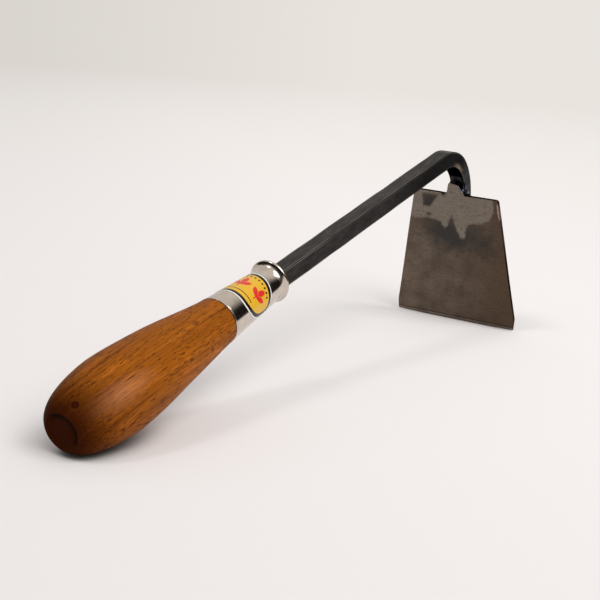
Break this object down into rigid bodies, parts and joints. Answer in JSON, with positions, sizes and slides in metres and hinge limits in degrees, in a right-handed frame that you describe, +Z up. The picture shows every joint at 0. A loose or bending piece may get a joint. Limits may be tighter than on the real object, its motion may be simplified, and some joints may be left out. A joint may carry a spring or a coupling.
{
  "type": "hand hoe",
  "caption": "Short-handled garden hoe: pear-shaped turned wooden handle, flared ferrule, square steel bar bent down behind a flat trapezoid blade.",
  "frame": {"origin": "on the ground, at the centre of the part's box seen from above", "axes": "+X from the handle's butt towards the blade, +Y to the tool's left, +Z up; the part is mirrored about Y = 0"},
  "size_m": [0.3974, 0.085, 0.1152],
  "materials": {
    "oiled_hardwood": "satin",
    "nickel_plate": "polished",
    "printed_label": "satin",
    "forge_black_steel": "satin",
    "ground_steel": "satin",
    "weld_steel": "satin"
  },
  "bodies": {
    "root": {"handle": "oiled_hardwood", "ferrule": "nickel_plate", "label": "printed_label", "shank": "forge_black_steel", "blade": "ground_steel", "weld_front": "weld_steel", "weld_back": "weld_steel"}
  },
  "joints": []
}
